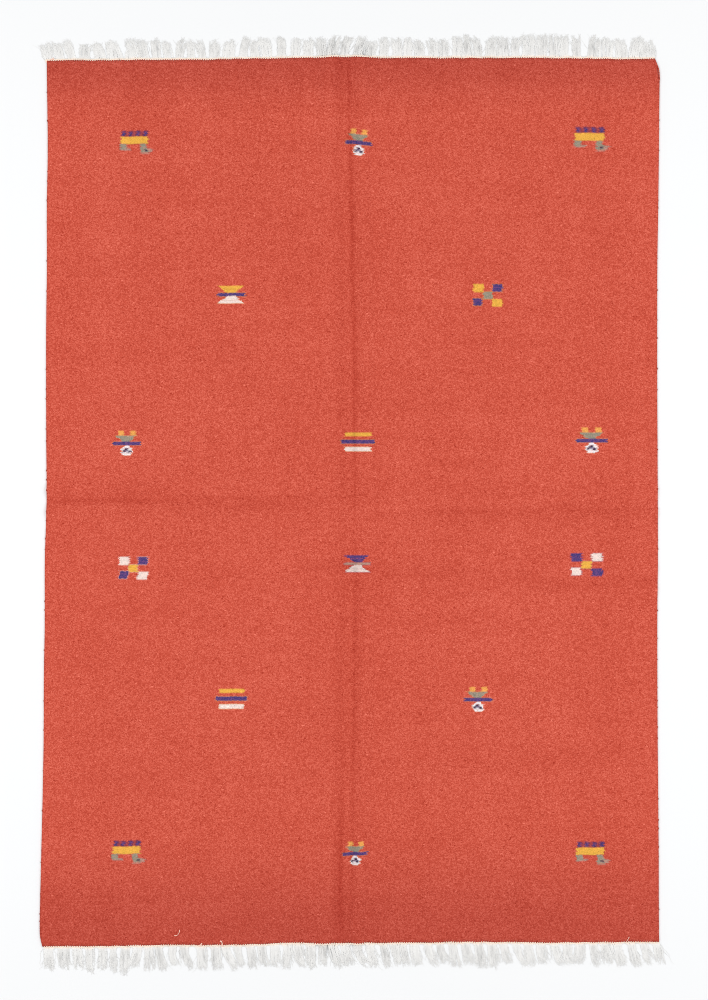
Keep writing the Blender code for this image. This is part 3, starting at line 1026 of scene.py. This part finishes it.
def buildFringe(name, plan, material):
    paths, radii, tones, share = layStrands(plan, random.Random(plan["seed"] + 100))
    strands, skin = tubeMesh(paths, radii, fringe["sides"], fringe["flatness"])
    hitches = [hitchLine(plan, row) for row in fringe["hitchRows"]]
    points, faces = joined([(strands, skin)] + [
        tubeMesh(line[None], lineRadii[None], fringe["hitchSides"]) for line, lineRadii in hitches])
    along = np.broadcast_to(share[None, :, None], strands.shape[:3]).ravel()
    tone = np.broadcast_to(tones[:, None, None], strands.shape[:3]).ravel()
    extra = len(points) - len(along)
    piece = addPiece(name + "_yarns", inRow(*points.T), faces, material)
    # loose yarn keeps its crisp sides, the hitches are round
    piece.data.polygons.foreach_set("use_smooth", np.arange(len(faces)) >= len(skin))
    addAttribute(piece.data, "along", np.concatenate([along, np.zeros(extra)]))
    addAttribute(piece.data, "tone", np.concatenate([tone, np.full(extra, fringe["hitchTone"])]))
    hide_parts(name)
    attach(piece, "root")
    print("stage:", name, len(paths), "strands,", len(piece.data.polygons), "faces")
    return piece


def cottonGraph(name, rootColour):
    # greyer in the middle of a bunch and halfway along it, and the root's own colour at the wool
    graph = Graph(name)
    place = graph.node("ShaderNodeTexCoord", output="Object")
    along = graph.attribute("along")
    tone = graph.attribute("tone")
    fibre = graph.noise(place, 900, 2, 0.6)
    x, y, z = graph.split(place)
    greyingAndShade = graph.noise(graph.join(x, y * 0.3, z), 85)
    # grey is partly the cotton's own greying and partly painted shade between its strands, darkest at
    # the shade colour
    grey = (tone * (0.98 - abs(along - 0.55) * 0.95) + (fibre - 0.5) * 0.2
            + (greyingAndShade - 0.5) * fringe["greyingAndShade"] + fringe["greyness"])
    white = graph.node("ShaderNodeValToRGB", {"stops": (
        (0.0, fringe["white"]), (0.6, fringe["grey"]), (1.0, fringe["shade"]))}, {"Fac": grey})
    full, gone = fringe["creamReach"]
    root = graph.node("ShaderNodeMapRange", (), {
        "Value": along, "From Min": full, "From Max": gone, "To Min": 1.0, "To Max": 0.0})
    colour = graph.mix(root, white, rootColour)
    normal = graph.node("ShaderNodeBump", (), {"Strength": 0.15, "Distance": 0.0004, "Height": fibre})
    return graph.finish(colour, 0.85, normal, Sheen_Weight=0.1, Specular_IOR_Level=0.2)


cotton = cottonGraph("loose cotton yarn", fringe["cream"])
fringes = [buildFringe(name, plan, cotton) for name, plan in fringeEnds.items()]


# Ends of yarn that came out of the weave: radius, then points of x, y on the face.
looseEnds = {
    "colour": (0.93, 0.60, 0.49),
    "points": 12,
    "sides": 6,
    "arch": 0.5,
    "tone": 0.1,
    "yarns": (
        (1.1, (-463, -1128), (-458, -1128), (-453, -1125), (-450, -1119), (-449, -1113)),
        (2.2, (-399, -1155), (-395, -1152), (-391, -1148)),
        (2.3, (-339, -1156), (-338.5, -1150), (-339.5, -1144.5), (-343.5, -1142)),
        (2.0, (-303, -1155), (-302, -1150)),
        (1.0, (713, -1141), (716, -1137), (719, -1131)),
        (1.6, (-784, 1146), (-780, 1149), (-775, 1150))),
}


def buildLooseEnds(material):
    tubes = []
    share = np.linspace(0, 1, looseEnds["points"])
    for radius, *corners in looseEnds["yarns"]:
        steps = [(i / (len(corners) - 1), *corner) for i, corner in enumerate(corners)]
        x, y = curve(steps)(share), curve(steps, 2)(share)
        z = liftAt(x, y) + cloth["thickness"] + 0.6 + looseEnds["arch"] * np.sin(share * math.pi)
        radii = radius * (0.75 + 0.25 * np.sin(share * 9))
        tubes.append(tubeMesh(np.stack([x, y, z], -1)[None], radii[None], looseEnds["sides"]))
    points, faces = joined(tubes)
    piece = addPiece("loose_ends", inRow(*points.T), faces, material)
    addAttribute(piece.data, "along", np.zeros(len(points)))
    addAttribute(piece.data, "tone", np.full(len(points), looseEnds["tone"]))
    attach(piece, "root")
    return piece


looseYarn = buildLooseEnds(cottonGraph("pink yarn end", looseEnds["colour"]))
print("stage: loose ends laid,", len(looseYarn.data.polygons), "faces")

# in metres and watts
studio = {
    "floorColour": (0.85, 0.855, 0.86),
    "floorShade": (0.845, 0.855, 0.865),
    "floorReach": 6.0,
    "worldStrength": 0.75,
    "panelAside": 2.6,
    "panelHeight": 3.0,
    "panelSize": (1.4, 4.0),
    "panelWatts": 51,
    "cameraPlace": (0.0057, 0.0097),
    "cameraHeight": 5.0,
    "covered": 2.6,         # of floor, by the long side of the picture
}


def buildFloor():
    corners = np.array([(-1, -1, 0), (1, -1, 0), (1, 1, 0), (-1, 1, 0)]) * studio["floorReach"]
    graph = Graph("pale studio floor")
    place = graph.node("ShaderNodeTexCoord", output="Object")
    grain = graph.noise(place, 3)
    colour = graph.mix(grain, studio["floorColour"], studio["floorShade"])
    floor = addPiece("floor", corners, [[0, 1, 2, 3]], graph.finish(colour, 0.9))


def addPanel(name, x):
    data = bpy.data.lights.new(name, "AREA")
    data.shape = "RECTANGLE"
    data.size, data.size_y = studio["panelSize"]
    data.energy = studio["panelWatts"]
    lamp = bpy.data.objects.new(name, data)
    lamp.location = (x, 0, studio["panelHeight"])
    lamp.rotation_euler = (0, math.atan2(x, studio["panelHeight"]), 0)
    bpy.context.scene.collection.objects.link(lamp)


def addCamera():
    # straight above, a little off the middle as the photo is
    camera = bpy.data.cameras.new("photo camera")
    camera.lens = camera.sensor_width * studio["cameraHeight"] / studio["covered"]
    view = bpy.data.objects.new("photo camera", camera)
    view.location = (*studio["cameraPlace"], studio["cameraHeight"])
    bpy.context.scene.collection.objects.link(view)
    bpy.context.scene.camera = view


buildFloor()
addPanel("left panel", -studio["panelAside"])
addPanel("right panel", studio["panelAside"])
addCamera()
scene = bpy.context.scene
scene.world = bpy.data.worlds.new("studio air")
scene.world.use_nodes = True
air = scene.world.node_tree.nodes["Background"]
air.inputs["Color"].default_value = (1, 1, 1, 1)
air.inputs["Strength"].default_value = studio["worldStrength"]
scene.view_settings.view_transform = "Standard"
scene.cycles.filter_width = 1.0             # the photo is crisp
scene.cycles.denoising_prefilter = "NONE"   # keeps the yarn's grain

print("stage: done")
